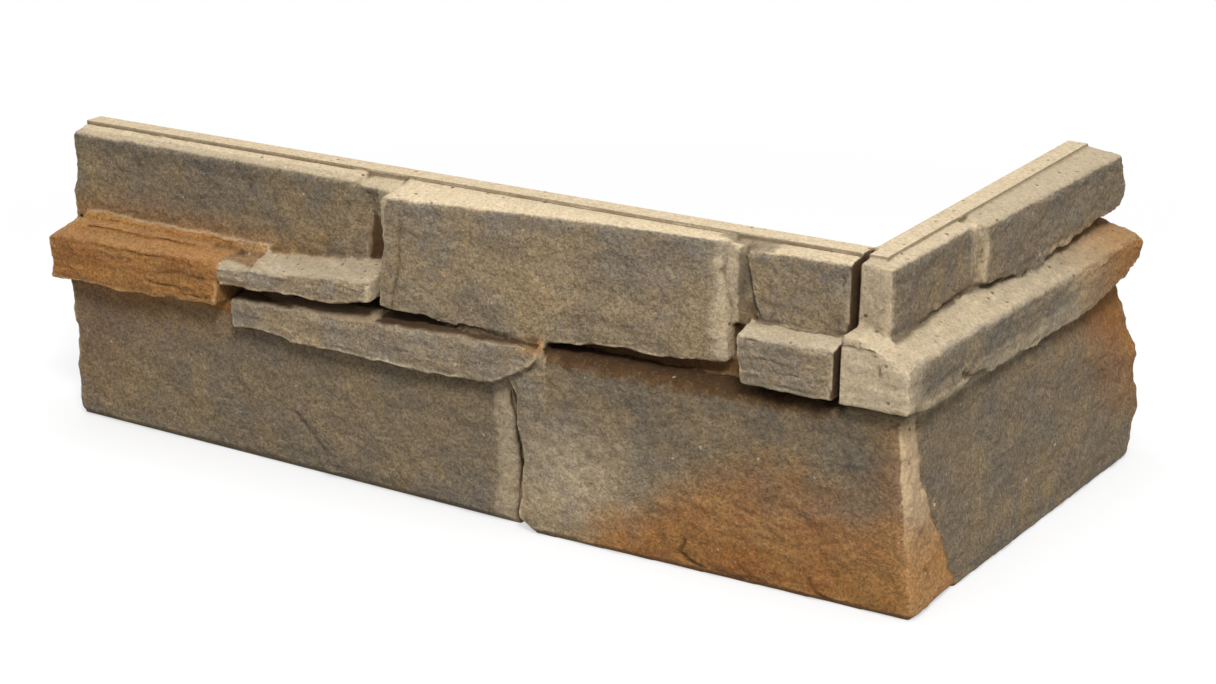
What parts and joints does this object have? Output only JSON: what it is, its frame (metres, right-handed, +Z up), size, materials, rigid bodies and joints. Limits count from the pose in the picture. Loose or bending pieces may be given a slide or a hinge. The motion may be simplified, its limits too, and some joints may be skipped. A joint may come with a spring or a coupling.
{
  "type": "stone cladding corner piece",
  "caption": "L-shaped cast concrete cladding corner with a dry-stack stone face, flat backs and a raised rear lip, for wrapping the outside corner of a wall.",
  "frame": {"origin": "foot of the inside corner, where the two flat backs and the floor meet", "axes": "-X along the long leg, +Y along the return leg, +Z up; the stone faces look along -Y and +X"},
  "size_m": [0.485, 0.264, 0.152],
  "materials": {
    "cast_stone": "matte"
  },
  "bodies": {
    "root": {"corner_panel": "cast_stone"}
  },
  "joints": []
}
